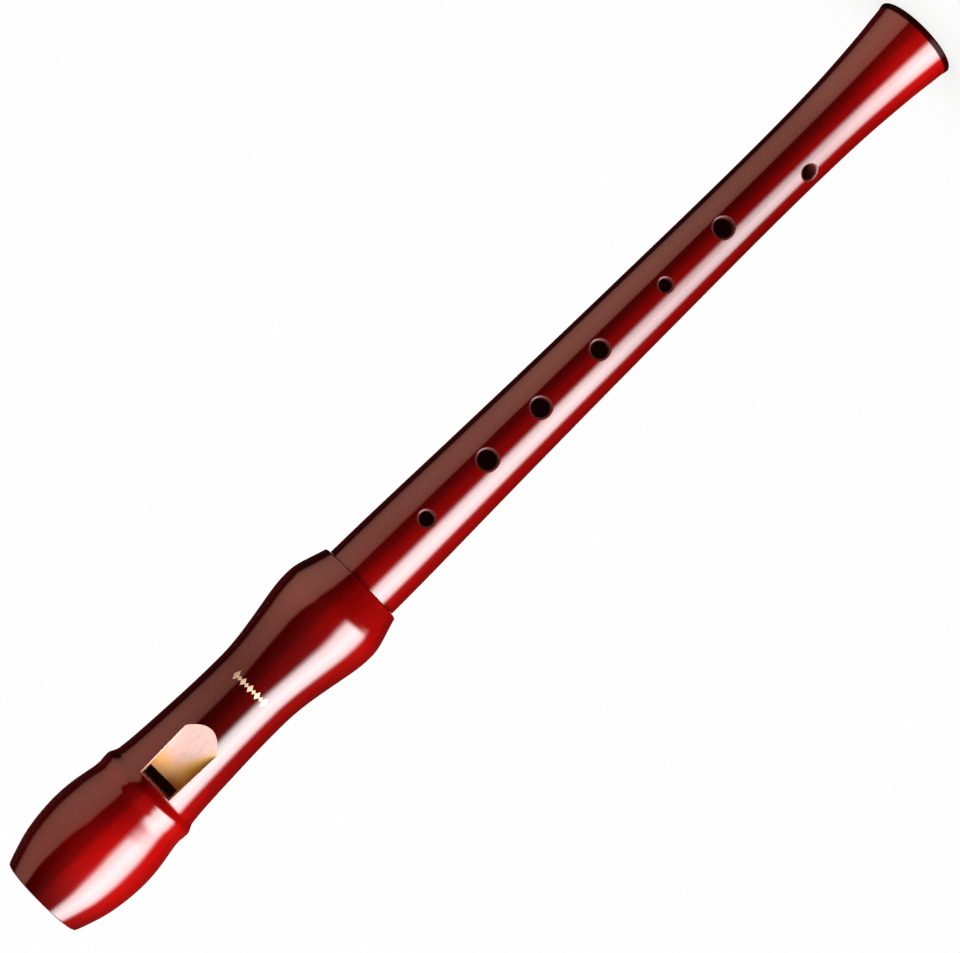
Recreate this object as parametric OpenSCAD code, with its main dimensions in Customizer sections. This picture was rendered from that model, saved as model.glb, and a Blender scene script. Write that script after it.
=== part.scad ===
// Soprano recorder in red lacquered wood: a turned head joint with a cedar
// block, and a body joint with seven finger holes and a thumb hole.
// Millimetres. The instrument stands on its bell end: Z = 0 is the bell end
// face, +Z runs up the bore to the mouthpiece, the finger holes face -Y and
// the thumb hole faces +Y.

/* [Overall] */
// Length from the bell end to the tip of the beak
total_len = 330; // [328:0.5:334]
// Smoothness of round surfaces
facets = 96; // [48:24:144]

/* [Body joint] */
// Height of the shoulder that the head joint sits against
shoulder_z = 212; // [210:0.5:214]
// Diameter at the bell end
bell_d = 25.3; // [24.8:0.1:26]
// Smallest outside diameter, between holes six and seven
neck_d = 18.85; // [18.5:0.05:19.2]
// Diameter at the shoulder
shoulder_d = 23.4; // [23:0.1:24]
// Radius of the rounded bell edge
bell_round = 0.5; // [0.3:0.1:1]
// Bore diameter at the top of the tenon
bore_top_d = 13; // [12.6:0.1:13.4]
// Bore diameter at the bell end
bore_bell_d = 10.4; // [10:0.1:11]
// Length of the straight bore at the bell end
bore_straight = 30; // [24:1:36]

/* [Tenon and cork] */
// Diameter of the tenon
tenon_d = 19; // [18.6:0.1:19.4]
// Length of the tenon above the shoulder
tenon_len = 21; // [18:0.5:23]
// Length of the cork ring along the tenon
cork_len = 14; // [10:0.5:15]
// Depth of the groove that the cork ring sits in
cork_depth = 1; // [0.8:0.1:1.3]
// Gap between the tenon and the socket, measured on the radius
tenon_gap = 0.05; // [0.03:0.01:0.09]
// Gap on each side of the cork ring, measured on the radius
cork_gap = 0.02; // [0.02:0.01:0.04]

/* [Finger holes] */
// Diameter of finger hole one, nearest the head
hole1_d = 4.1; // [3.8:0.1:5]
// Diameter of finger hole two
hole2_d = 5.5; // [5:0.1:6.4]
// Diameter of finger hole three
hole3_d = 5.3; // [5:0.1:6.4]
// Diameter of finger hole four
hole4_d = 4.9; // [4.6:0.1:6]
// Diameter of finger hole five
hole5_d = 3.6; // [3.2:0.1:5]
// Diameter of finger hole six
hole6_d = 5.5; // [5:0.1:6.4]
// Diameter of finger hole seven, for the little finger
hole7_d = 4.3; // [4:0.1:5.4]
// Angle that hole seven is turned round the body for the little finger
hole7_turn = 40; // [30:1:45]
// Diameter of the thumb hole
thumb_d = 5.2; // [5:0.1:6.2]
// Height of the thumb hole above the bell end
thumb_z = 193.5; // [191:0.5:196]
// Size of the bevel round each hole
hole_bevel = 0.5; // [0.3:0.1:0.6]

/* [Head joint] */
// Largest diameter of the bulb round the socket
bulb_d = 32.1; // [31.5:0.1:32.6]
// Diameter of the waist between the bulb and the window
waist_d = 24.9; // [24.4:0.1:25.4]
// Diameter of the bead above the window
bead_d = 30.4; // [30.2:0.05:30.7]
// Largest diameter of the beak
beak_d = 33.5; // [33:0.1:34]
// Width of the beak at its tip
tip_d = 24.8; // [24.2:0.1:25.2]
// Bore diameter of the head joint
head_bore_d = 13.5; // [13.2:0.1:13.7]

/* [Window and windway] */
// Height of the sharp edge that splits the air jet
edge_z = 284.8; // [284.4:0.1:285]
// Height of the end of the windway, at the upper side of the window
window_z = 287.7; // [287.4:0.1:288.2]
// Width of the window
window_w = 9.8; // [9.3:0.1:10.2]
// How far each side wall of the window leans outwards at the skin
window_flare = 0.5; // [0.4:0.05:0.8]
// How far each side wall of the window spreads towards the ramp's end
window_spread = 0.6; // [0.3:0.05:0.8]
// Slope of the ramp at the edge, in degrees; it eases off towards its end
ramp_angle = 19.8; // [19.2:0.1:20.6]
// Distance from the bore axis to the sharp edge
edge_r = 6.95; // [6.9:0.05:7.1]
// Distance from the bore axis to the windway floor
floor_r = 6.1; // [5.9:0.1:6.3]
// Distance from the bore axis to the windway roof at the window
roof_r = 7.4; // [7.2:0.1:7.6]
// Distance from the bore axis to the windway roof at the tip
roof_tip_r = 8.2; // [7.8:0.1:8.6]

/* [Beak] */
// Height at which the hollow under the beak starts
beak_cut_z = 296; // [294:0.5:300]
// Thickness of the beak at its tip
tip_thick = 11.6; // [11:0.1:12.4]

/* [Hidden] */
$fn = facets;
eps = 0.01;
lacquer = [0.62, 0.03, 0.03];
cedar = [0.86, 0.68, 0.52];
cork = [0.72, 0.56, 0.38];

// Body bore, tenon and cork
bore_chamfer = 0.8;
tenon_r = tenon_d / 2;
tenon_top = shoulder_z + tenon_len;
tenon_chamfer = 0.5;
groove_r = tenon_r - cork_depth;
cork_z = shoulder_z + (tenon_len - cork_len) / 2;
cork_end_gap = 0.05;
cork_chamfer = 0.4;

// Socket and lower rim of the head
socket_r = tenon_r + tenon_gap;
socket_top = tenon_top + 0.4;
socket_chamfer = 0.4;
head_z = shoulder_z + 0.02;
rim_d = 26.1;
rim_chamfer = [0.3, 0.14]; // across, up

// Heights of the bulb, waist, bead and beak at their stated diameters
bulb_z = shoulder_z + 12.6;
waist_z = 256;
bead_z = 291.2;
beak_z = total_len - 21;

// Holes: [height, diameter, turn about the axis from -Y]; the last is the thumb's
holes = [
    [188, hole1_d, 0], [165.5, hole2_d, -1], [145.6, hole3_d, -1.4],
    [123.4, hole4_d, -1.6], [98.6, hole5_d, -1.9], [76.5, hole6_d, -1.8],
    [48.9, hole7_d, -hole7_turn], [thumb_z, thumb_d, 180]
];
hole_facets = 48;
drill_over = 3;   // how far the drill starts outside the skin
bevel_over = 2.4; // how far the bevel cone runs on outside the skin

// Turning stations: [height, diameter]
// Body: bell, flare, neck, then a long swell
body_stations = [
    [bell_round, bell_d], [3, 24.55], [6, 23.9], [10, 22.95], [15, 22],
    [20, 21.2], [27, 20.25], [35, 19.55], [45, 19.1], [62, neck_d],
    [80, 19.05], [100, 19.5], [120, 20], [145, 20.8], [170, 21.8],
    [190, 22.75], [200, 23.15], [shoulder_z, shoulder_d]
];
// The crease under the bead, and the foot of the beak
crease = [288, 28];
beak_foot = [294.3, 29.9];
// Head below the bead: rim, bulb, waist, window land
lower_stations = [
    [shoulder_z, rim_d], [shoulder_z + 2, 27.35], [shoulder_z + 5, 29.3],
    [shoulder_z + 8, 31.1], [shoulder_z + 9.5, 31.75], [bulb_z, bulb_d],
    [227, 31.9], [230, 31.15], [235, 29.35], [240, 27.55], [245, 26],
    [250, 25.05], [waist_z, waist_d], [264, 25.2], [272, 25.85], [280, 26.65],
    [285, 27.35], crease
];
bead_stations = [
    crease, [288.7, 28.35], [289.5, 29.15], [290.5, 30.1],
    [bead_z, bead_d], [292, bead_d - 0.05], [293, 30.25], beak_foot
];
// The beak, out to its widest point and in to the tip
beak_stations = [
    beak_foot, [296, 30.3], [299, 31.4], [302, 32.45], [305, 33.15],
    [beak_z, beak_d], [313, 33.15], [317, 32.25], [321, 30.8], [325, 28.45],
    [total_len - 1, 25.6], [total_len, tip_d]
];

// Window
undercut_len = 17;
edge_thick = 0.2;    // from the sharp edge in to the flat underside
ramp_len = 20;
ramp_step = 4;
ramp_ease = 0.00204; // how fast the ramp's slope eases off
ramp_over = [1, 4];  // how far the cut runs past the ramp's end: out, down
window_reach = 18;   // distance from the axis, outside the skin
window_top_rise = 0.35;
spread_len = 21;     // length over which the side walls spread
wall_reach = 12;     // outward length of a leaning wall, twice that of the flare

// Block
block_gap = 0.03;

// Hollow at the back of the beak: an arc from [cut_back, beak_cut_z] in the YZ
// plane to tip_back, with its centre cut_lift above the tip
tip_back = tip_thick - tip_d / 2;
cut_back = 15.6;
cut_lift = 4;
cut_depth = cut_back - tip_back;
cut_centre_z = total_len + cut_lift;
cut_r = (pow(cut_depth, 2) + pow(cut_centre_z - beak_cut_z, 2)) / (2 * cut_depth);

// Change of diameter per unit of height between stations i and i + 1
function rise(table, i) =
    (table[i + 1][1] - table[i][1]) / (table[i + 1][0] - table[i][0]);

// Slope of the smooth curve at station i
function slope(table, i) =
    i == 0 ? rise(table, 0)
    : i == len(table) - 1 ? rise(table, i - 1)
    : let (below = table[i][0] - table[i - 1][0],
           above = table[i + 1][0] - table[i][0])
        (rise(table, i - 1) * above + rise(table, i) * below) / (below + above);

// Diameter at the fraction t of the way from station i to i + 1
function hermite(table, i, t) =
    let (span = table[i + 1][0] - table[i][0])
    (2 * t * t * t - 3 * t * t + 1) * table[i][1]
    + (t * t * t - 2 * t * t + t) * span * slope(table, i)
    + (3 * t * t - 2 * t * t * t) * table[i + 1][1]
    + (t * t * t - t * t) * span * slope(table, i + 1);

// Smooth curve through the stations, as [radius, height], steps to each span
function curve(table, steps) = [
    for (i = [0 : len(table) - 2]) for (k = [0 : steps - 1])
        [
            hermite(table, i, k / steps) / 2,
            table[i][0] + (table[i + 1][0] - table[i][0]) * k / steps
        ],
    [table[len(table) - 1][1] / 2, table[len(table) - 1][0]]
];

function without_first(points) = [for (i = [1 : len(points) - 1]) points[i]];

// Outside radius of the body, straight between stations
function body_r(z) = lookup(z, [for (s = body_stations) [s[0], s[1] / 2]]);

// Distance of the ramp from the bore axis, at a depth below the sharp edge
function ramp_r(depth) =
    edge_r + tan(ramp_angle) * depth - ramp_ease * depth * depth;

// Stands a [y, z] outline in the YZ plane, width wide and centred on X = 0
module across(width) {
    translate([-width / 2, 0, 0])
        rotate([90, 0, 90])
            linear_extrude(width) children();
}

// A hole drilled out from the axis, with a bevelled mouth
module tone_hole(z, d, turn) {
    skin_r = body_r(z);
    bevel_len = hole_bevel + bevel_over;
    rotate([0, 0, turn]) translate([0, 0, z]) rotate([90, 0, 0]) {
        cylinder(d = d, h = skin_r + drill_over, $fn = hole_facets);
        translate([0, 0, skin_r - hole_bevel])
            cylinder(d1 = d, d2 = d + 2 * bevel_len, h = bevel_len, $fn = hole_facets);
    }
}

module body_joint() {
    bell_edge = [
        for (a = [0 : 15 : 75])
            [bell_d / 2 - bell_round * (1 - sin(a)), bell_round * (1 - cos(a))]
    ];
    color(lacquer) difference() {
        rotate_extrude() polygon(concat(
            [[bore_bell_d / 2 + bore_chamfer, 0]],
            bell_edge,
            curve(body_stations, 5),
            [
                [tenon_r, shoulder_z],
                [tenon_r, cork_z],
                [groove_r, cork_z],
                [groove_r, cork_z + cork_len],
                [tenon_r, cork_z + cork_len],
                [tenon_r, tenon_top - tenon_chamfer],
                [tenon_r - tenon_chamfer, tenon_top],
                [bore_top_d / 2, tenon_top],
                [bore_bell_d / 2, bore_straight],
                [bore_bell_d / 2, bore_chamfer]
            ]));
        for (h = holes) tone_hole(h[0], h[1], h[2]);
    }
}

module tenon_cork() {
    inner_r = groove_r + cork_gap;
    outer_r = socket_r - cork_gap;
    bottom = cork_z + cork_end_gap;
    top = cork_z + cork_len - cork_end_gap;
    color(cork) rotate_extrude() polygon([
        [inner_r, bottom],
        [outer_r - cork_chamfer, bottom],
        [outer_r, bottom + cork_chamfer],
        [outer_r, top - cork_chamfer],
        [outer_r - cork_chamfer, top],
        [inner_r, top]
    ]);
}

module beak_hollow() {
    translate([0, tip_back + cut_r, cut_centre_z])
        rotate([0, 90, 0])
            cylinder(r = cut_r, h = 60, center = true, $fn = 180);
}

// The air passage over the block, open from the window to the tip
module windway() {
    across(window_w) polygon([
        [0, window_z - eps], [-roof_r, window_z - eps],
        [-roof_tip_r, total_len + 1], [0, total_len + 1]
    ]);
}

// Everything on the inner side of one leaning side wall; side is 1 for +X, -1 for -X
module inside_wall(side) {
    outer_y = -edge_r - wall_reach;
    translate([side * window_w / 2, 0, window_z])
        rotate([0, -side * atan(window_spread / spread_len), 0])
            translate([0, 0, -30]) linear_extrude(40) polygon([
                [0, 1], [0, -edge_r],
                [side * window_flare * 2, outer_y],
                [-side * 20, outer_y], [-side * 20, 1]
            ]);
}

module window_cut() {
    under_r = edge_r - edge_thick;
    cut_end_z = edge_z - ramp_len - ramp_over[1];
    // flat underside of the sharp edge
    translate([-window_w / 2, -under_r, edge_z - undercut_len])
        cube([window_w, under_r, undercut_len + eps]);
    // opening above the edge and the ramp below it, between leaning walls
    intersection() {
        across(20) polygon(concat(
            [[0, edge_z]],
            [for (d = [0 : ramp_step : ramp_len]) [-ramp_r(d), edge_z - d]],
            [
                [-ramp_r(ramp_len) - ramp_over[0], cut_end_z],
                [-window_reach, cut_end_z],
                [-window_reach, window_z + window_top_rise],
                [-roof_r, window_z],
                [0, window_z]
            ]));
        inside_wall(1);
        inside_wall(-1);
    }
}

module head_joint() {
    color(lacquer) difference() {
        // each curve leaves out its first point: the rim's chamfer stands in
        // for one, and the curve below already ends on the others
        rotate_extrude() polygon(concat(
            [
                [socket_r + socket_chamfer, head_z],
                [rim_d / 2 - rim_chamfer[0], head_z],
                [rim_d / 2, head_z + rim_chamfer[1]]
            ],
            without_first(curve(lower_stations, 4)),
            without_first(curve(bead_stations, 3)),
            without_first(curve(beak_stations, 4)),
            [
                [head_bore_d / 2, total_len],
                [head_bore_d / 2, socket_top],
                [socket_r, socket_top],
                [socket_r, head_z + socket_chamfer]
            ]));
        window_cut();
        windway();
        beak_hollow();
    }
}

module block() {
    block_len = total_len - window_z;
    color(cedar) difference() {
        union() {
            translate([0, 0, window_z])
                cylinder(r = head_bore_d / 2 - block_gap, h = block_len);
            // raised floor of the windway, between the side walls
            translate([-window_w / 2 + block_gap, -floor_r, window_z])
                cube([window_w - 2 * block_gap, floor_r, block_len]);
        }
        // the floor is flat across its whole width
        translate([-10, -10 - floor_r, window_z - 1]) cube([20, 10, total_len]);
        beak_hollow();
    }
}

body_joint();
tenon_cork();
head_joint();
block();
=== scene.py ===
"""A red lacquered recorder in two joints, standing on its bell with the bore along +Z.

The window and the front finger holes face -Y; the thumb hole and the hollow of the beak face +Y.
Azimuths run from -Y towards -X. Shapes are worked out in millimetres and built in metres;
materials, lights and the camera are in metres.
"""

import math
from contextlib import contextmanager

import bmesh
import bpy
import numpy as np
from mathutils import Matrix, Vector


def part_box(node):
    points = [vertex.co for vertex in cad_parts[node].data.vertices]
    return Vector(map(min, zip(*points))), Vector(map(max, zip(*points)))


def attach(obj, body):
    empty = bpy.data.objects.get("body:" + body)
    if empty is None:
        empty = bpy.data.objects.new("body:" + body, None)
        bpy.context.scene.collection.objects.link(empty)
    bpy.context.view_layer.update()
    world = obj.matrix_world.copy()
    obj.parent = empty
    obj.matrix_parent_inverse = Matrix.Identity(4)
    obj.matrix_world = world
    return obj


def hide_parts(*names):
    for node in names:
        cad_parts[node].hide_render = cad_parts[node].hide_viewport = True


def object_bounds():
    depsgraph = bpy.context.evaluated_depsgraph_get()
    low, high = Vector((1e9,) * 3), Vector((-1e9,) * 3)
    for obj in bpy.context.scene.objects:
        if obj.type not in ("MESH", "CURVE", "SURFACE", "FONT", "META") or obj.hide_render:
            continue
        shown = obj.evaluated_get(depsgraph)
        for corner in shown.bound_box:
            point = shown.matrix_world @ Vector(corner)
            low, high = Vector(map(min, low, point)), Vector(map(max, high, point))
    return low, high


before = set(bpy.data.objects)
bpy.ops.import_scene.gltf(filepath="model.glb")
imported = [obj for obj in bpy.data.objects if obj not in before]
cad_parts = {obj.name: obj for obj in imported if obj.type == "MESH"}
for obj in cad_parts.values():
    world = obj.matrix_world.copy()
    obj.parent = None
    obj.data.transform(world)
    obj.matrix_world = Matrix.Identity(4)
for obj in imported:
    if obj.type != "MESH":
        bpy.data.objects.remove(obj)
CAD_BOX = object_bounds()

MM = 0.001
COLS = 192                      # columns round the body and the cork
HEAD_COLS = 288                 # columns round the head
CUTTER_COLS = 128               # columns round the head's bore
COL_STEP = 2 * math.pi / COLS


# ---------------------------------------------------------------- sizes taken from the frame
def to_mm(metres):
    return round(metres / MM, 3)


_, body_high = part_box("body_joint")
head_low, head_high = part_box("head_joint")
cork_low, cork_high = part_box("tenon_cork")
block_low, block_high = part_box("block")

TOTAL = to_mm(head_high.z)      # tip of the beak
TENON_TOP = to_mm(body_high.z)
RIM_Z = to_mm(head_low.z)       # lower rim of the head
SHOULDER = RIM_Z - 0.02         # body's shoulder, just under the rim
WINDOW_Z = to_mm(block_low.z)   # end of the windway
CORK_Z0, CORK_Z1 = to_mm(cork_low.z), to_mm(cork_high.z)
CORK_R = to_mm(cork_high.x)
BLOCK_R = to_mm(block_high.x)

# ---------------------------------------------------------------- other sizes (mm)
SOCKET_R = CORK_R + 0.02
TENON_R = SOCKET_R - 0.05
GROOVE_R = TENON_R - 1.0        # floor of the cork groove
GROOVE_PLAY = 0.05              # gap above and below the cork
BELL_D = 25.3
BELL_ROUND = 0.5
BODY_BORE_R = 5.2               # body bore at the bell
BODY_BORE_TOP_R = 6.5           # and at the tenon
BORE_STRAIGHT = 30              # height where the body bore begins to widen
HEAD_BORE_R = 6.75
BEAD_Z, BEAK_Z = 288, 294.3     # where the bead and the beak begin

# Finger holes: height, diameter, azimuth in degrees
HOLES = [(188.0, 4.1, 0), (165.5, 5.5, 1), (145.6, 5.3, 1.4), (123.4, 4.9, 1.6),
         (98.6, 3.6, 1.9), (76.5, 5.5, 1.8), (48.9, 4.3, 40), (193.5, 5.2, 180)]
HOLE_LIP = 0.6
HOLE_FOOT = 0.12                # small lip where a hole meets the bore

# Window and windway
EDGE_Z, EDGE_R = 284.8, 6.95    # the sharp edge
RAMP_SLOPE, RAMP_EASE = 0.3593, 0.00204
RAMP_LENGTH = 20
WINDOW_W = 9.8
WINDOW_HALF = WINDOW_W / 2
FLOOR_R, ROOF_R, ROOF_TIP_R = 6.1, 7.4, 8.2

# Hollow under the beak: a cylinder along X, level with its lower end's centre above the tip
HOLLOW_START_Y, HOLLOW_START_Z = 15.6, 296
HOLLOW_TIP_Y = -0.6
HOLLOW_Z = TOTAL + 4
HOLLOW_RISE = HOLLOW_START_Y - HOLLOW_TIP_Y
HOLLOW_R = (HOLLOW_RISE ** 2 + (HOLLOW_Z - HOLLOW_START_Z) ** 2) / (2 * HOLLOW_RISE)
HOLLOW_Y = HOLLOW_TIP_Y + HOLLOW_R


# ---------------------------------------------------------------- turning profiles
def make_curve(stations):
    """Radius at any height, on a smooth curve through (height, diameter) stations."""
    z, dia = np.array(stations, float).T
    gap = np.diff(z)
    rise = np.diff(dia) / gap
    slope = np.empty(len(z))
    slope[0], slope[-1] = rise[0], rise[-1]
    slope[1:-1] = (rise[:-1] * gap[1:] + rise[1:] * gap[:-1]) / (gap[:-1] + gap[1:])

    def radius(height):
        height = np.asarray(height, float)
        i = np.clip(np.searchsorted(z, height, side="right") - 1, 0, len(z) - 2)
        span = z[i + 1] - z[i]
        t = (height - z[i]) / span
        value = ((2 * t**3 - 3 * t**2 + 1) * dia[i] + (t**3 - 2 * t**2 + t) * span * slope[i]
                 + (3 * t**2 - 2 * t**3) * dia[i + 1] + (t**3 - t**2) * span * slope[i + 1])
        # straight on beyond either end
        value = np.where(height > z[-1], dia[-1] + (height - z[-1]) * slope[-1], value)
        value = np.where(height < z[0], dia[0] + (height - z[0]) * slope[0], value)
        return value / 2

    return radius


# Stations: height, diameter
body_radius = make_curve([
    (BELL_ROUND, BELL_D), (3, 24.55), (6, 23.9), (10, 22.95), (15, 22), (20, 21.2),
    (27, 20.25), (35, 19.55), (45, 19.1), (62, 18.85), (80, 19.05),
    (100, 19.5), (120, 20), (145, 20.8), (170, 21.8), (190, 22.75),
    (200, 23.15), (SHOULDER, 23.4)])
lower_radius = make_curve([
    (SHOULDER, 26.1), (SHOULDER + 2, 27.35), (SHOULDER + 5, 29.3),
    (SHOULDER + 8, 31.1), (SHOULDER + 9.5, 31.75), (224.6, 32.1),
    (227, 31.9), (230, 31.15), (235, 29.35), (240, 27.55), (245, 26),
    (250, 25.05), (256, 24.9), (264, 25.2), (272, 25.85), (280, 26.65),
    (285, 27.35), (BEAD_Z, 28)])
bead_radius = make_curve([
    (BEAD_Z, 28), (288.7, 28.35), (289.5, 29.15), (290.5, 30.1),
    (291.2, 30.4), (292, 30.35), (293, 30.25), (BEAK_Z, 29.9)])
beak_radius = make_curve([
    (BEAK_Z, 29.9), (296, 30.3), (299, 31.4), (302, 32.45), (305, 33.15),
    (309, 33.5), (313, 33.15), (317, 32.25), (321, 30.8), (325, 28.45),
    (TOTAL - 1, 25.6), (TOTAL, 24.8)])


def head_radius(z):
    z = np.asarray(z, float)
    radius = np.where(z < BEAD_Z, lower_radius(z),
                      np.where(z < BEAK_Z, bead_radius(z), beak_radius(z)))
    # small turned radius at the rim
    rim_round = 0.35
    return radius - rim_round * np.clip(1 - (z - SHOULDER) / rim_round, 0, 1) ** 2.2


def bore_radius(z):
    """The body's bore: straight at the bell, then widening to the tenon."""
    share = np.clip((np.asarray(z, float) - BORE_STRAIGHT) / (TENON_TOP - BORE_STRAIGHT), 0, 1)
    return BODY_BORE_R + (BODY_BORE_TOP_R - BODY_BORE_R) * share


def ramp_depth(below):
    """Distance of the ramp from the bore axis, at a distance below the sharp edge."""
    return EDGE_R + RAMP_SLOPE * below - RAMP_EASE * below * below


# ---------------------------------------------------------------- mesh helpers
def direction(azimuth):
    """Unit vector across the bore, as x and y."""
    return -np.sin(azimuth), -np.cos(azimuth)


def round_directions(columns, start=0.0):
    return direction(np.arange(columns) * 2 * math.pi / columns + start)


class Shape:
    """Gathers points (mm), faces and material slots; its rings all have the same columns."""

    def __init__(self, columns=COLS, start=0.0):
        self.verts, self.faces, self.slots = [], [], []
        self.around = list(zip(*round_directions(columns, start)))

    def add(self, points):
        first = len(self.verts)
        self.verts.extend(points)
        return list(range(first, len(self.verts)))

    def ring(self, radius, z):
        """A level circle, or one shared point where the radius is 0."""
        if radius == 0:
            return self.add([(0, 0, z)]) * len(self.around)
        return self.add([(radius * x, radius * y, z) for x, y in self.around])

    def face(self, ids, slot=0):
        self.faces.append(tuple(ids))
        self.slots.append(slot)

    def join(self, first, second, slot=0, skip=None):
        """Faces between two closed loops of equal length."""
        for j in range(len(first)):
            if skip is None or not skip(j):
                k = (j + 1) % len(first)
                corners = (first[j], first[k], second[k], second[j])
                self.face(dict.fromkeys(corners), slot)

    def sweep(self, loop, profile, slot=0):
        """Carries a ring on through (radius, height) points and returns the last ring."""
        for radius, z in profile:
            following = self.ring(radius, z)
            self.join(loop, following, slot)
            loop = following
        return loop

    def build(self, name, mats):
        mesh = bpy.data.meshes.new(name)
        points = np.asarray(self.verts, float) * MM
        mesh.from_pydata([tuple(point) for point in points], [], self.faces)
        for material in mats:
            mesh.materials.append(material)
        if any(self.slots):
            mesh.polygons.foreach_set("material_index", np.asarray(self.slots, np.int32))
        mesh.validate()
        return link_object(name, mesh)

    def build_closed(self, name, mats):
        return outward(self.build(name, mats))


def link_object(name, data):
    ob = bpy.data.objects.new(name, data)
    bpy.context.scene.collection.objects.link(ob)
    return ob


@contextmanager
def editing(ob):
    bm = bmesh.new()
    bm.from_mesh(ob.data)
    yield bm
    bm.to_mesh(ob.data)
    bm.free()


def outward(ob):
    """Weld doubled points and turn every face outwards."""
    with editing(ob) as bm:
        bmesh.ops.remove_doubles(bm, verts=bm.verts, dist=1e-7)
        bmesh.ops.recalc_face_normals(bm, faces=bm.faces)
        if bm.calc_volume(signed=True) < 0:
            bmesh.ops.reverse_faces(bm, faces=bm.faces)
    return ob


def clean(ob):
    """Weld what a boolean leaves behind and split its many-sided faces."""
    with editing(ob) as bm:
        bmesh.ops.remove_doubles(bm, verts=bm.verts, dist=2e-7)
        bmesh.ops.dissolve_degenerate(bm, edges=bm.edges, dist=1e-7)
        bmesh.ops.triangulate(bm, faces=[face for face in bm.faces if len(face.verts) > 4])


def smooth(ob, angle):
    ob.data.shade_smooth()
    ob.data.set_sharp_from_angle(angle=math.radians(angle))
    return ob


def boolean(ob, cutter, operation="DIFFERENCE"):
    """Applies a boolean to ob and removes the cutter."""
    mod = ob.modifiers.new("cut", "BOOLEAN")
    mod.operation = operation
    mod.solver = "MANIFOLD"
    mod.object = cutter
    graph = bpy.context.evaluated_depsgraph_get()
    result = bpy.data.meshes.new_from_object(
        ob.evaluated_get(graph), preserve_all_data_layers=True, depsgraph=graph)
    ob.modifiers.clear()
    old = ob.data
    ob.data = result
    bpy.data.meshes.remove(old)
    cutter_mesh = cutter.data
    bpy.data.objects.remove(cutter)
    bpy.data.meshes.remove(cutter_mesh)


def row_heights(marks, step, fine, fine_step):
    """Heights between the marks, closer together inside the fine spans."""
    rows = []
    edges = sorted(set(marks) | {e for span in fine for e in span if marks[0] < e < marks[-1]})
    for low, high in zip(edges[:-1], edges[1:]):
        is_fine = any(span[0] - 1e-6 <= low and high <= span[1] + 1e-6 for span in fine)
        count = max(1, int(round((high - low) / (fine_step if is_fine else step))))
        rows += [low + (high - low) * k / count for k in range(count)]
    return np.array(rows + [edges[-1]])


# ---------------------------------------------------------------- the body joint
BODY_SKIN, BODY_BORE, BODY_LIP = 0, 1, 2     # material slots

# Hole edge, from the skin to the wall: share of the lip's width, depth, slot
LIP_STEPS = [(0.93, 0.008, BODY_SKIN), (0.80, 0.05, BODY_LIP), (0.62, 0.125, BODY_LIP),
             (0.44, 0.205, BODY_LIP), (0.28, 0.285, BODY_LIP), (0.15, 0.37, BODY_LIP),
             (0.05, 0.48, BODY_LIP), (0, 0.62, BODY_LIP)]


def hole_window(hole, heights):
    """First and last column and row of the rectangle a hole takes out of both grids."""
    hole_z, diameter, azimuth = hole
    radius = diameter / 2
    row_margin = 1.7
    half_angle = (math.asin(min(0.98, (radius + 0.45) / float(bore_radius(hole_z))))
                  + math.radians(4.5))
    reach = int(math.ceil(half_angle / COL_STEP))
    middle = int(round((math.radians(azimuth) + math.pi) / COL_STEP))
    low = int(np.argmin(abs(heights - (hole_z - radius - row_margin))))
    high = int(np.argmin(abs(heights - (hole_z + radius + row_margin))))
    return middle - reach, middle + reach, low, high


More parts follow.
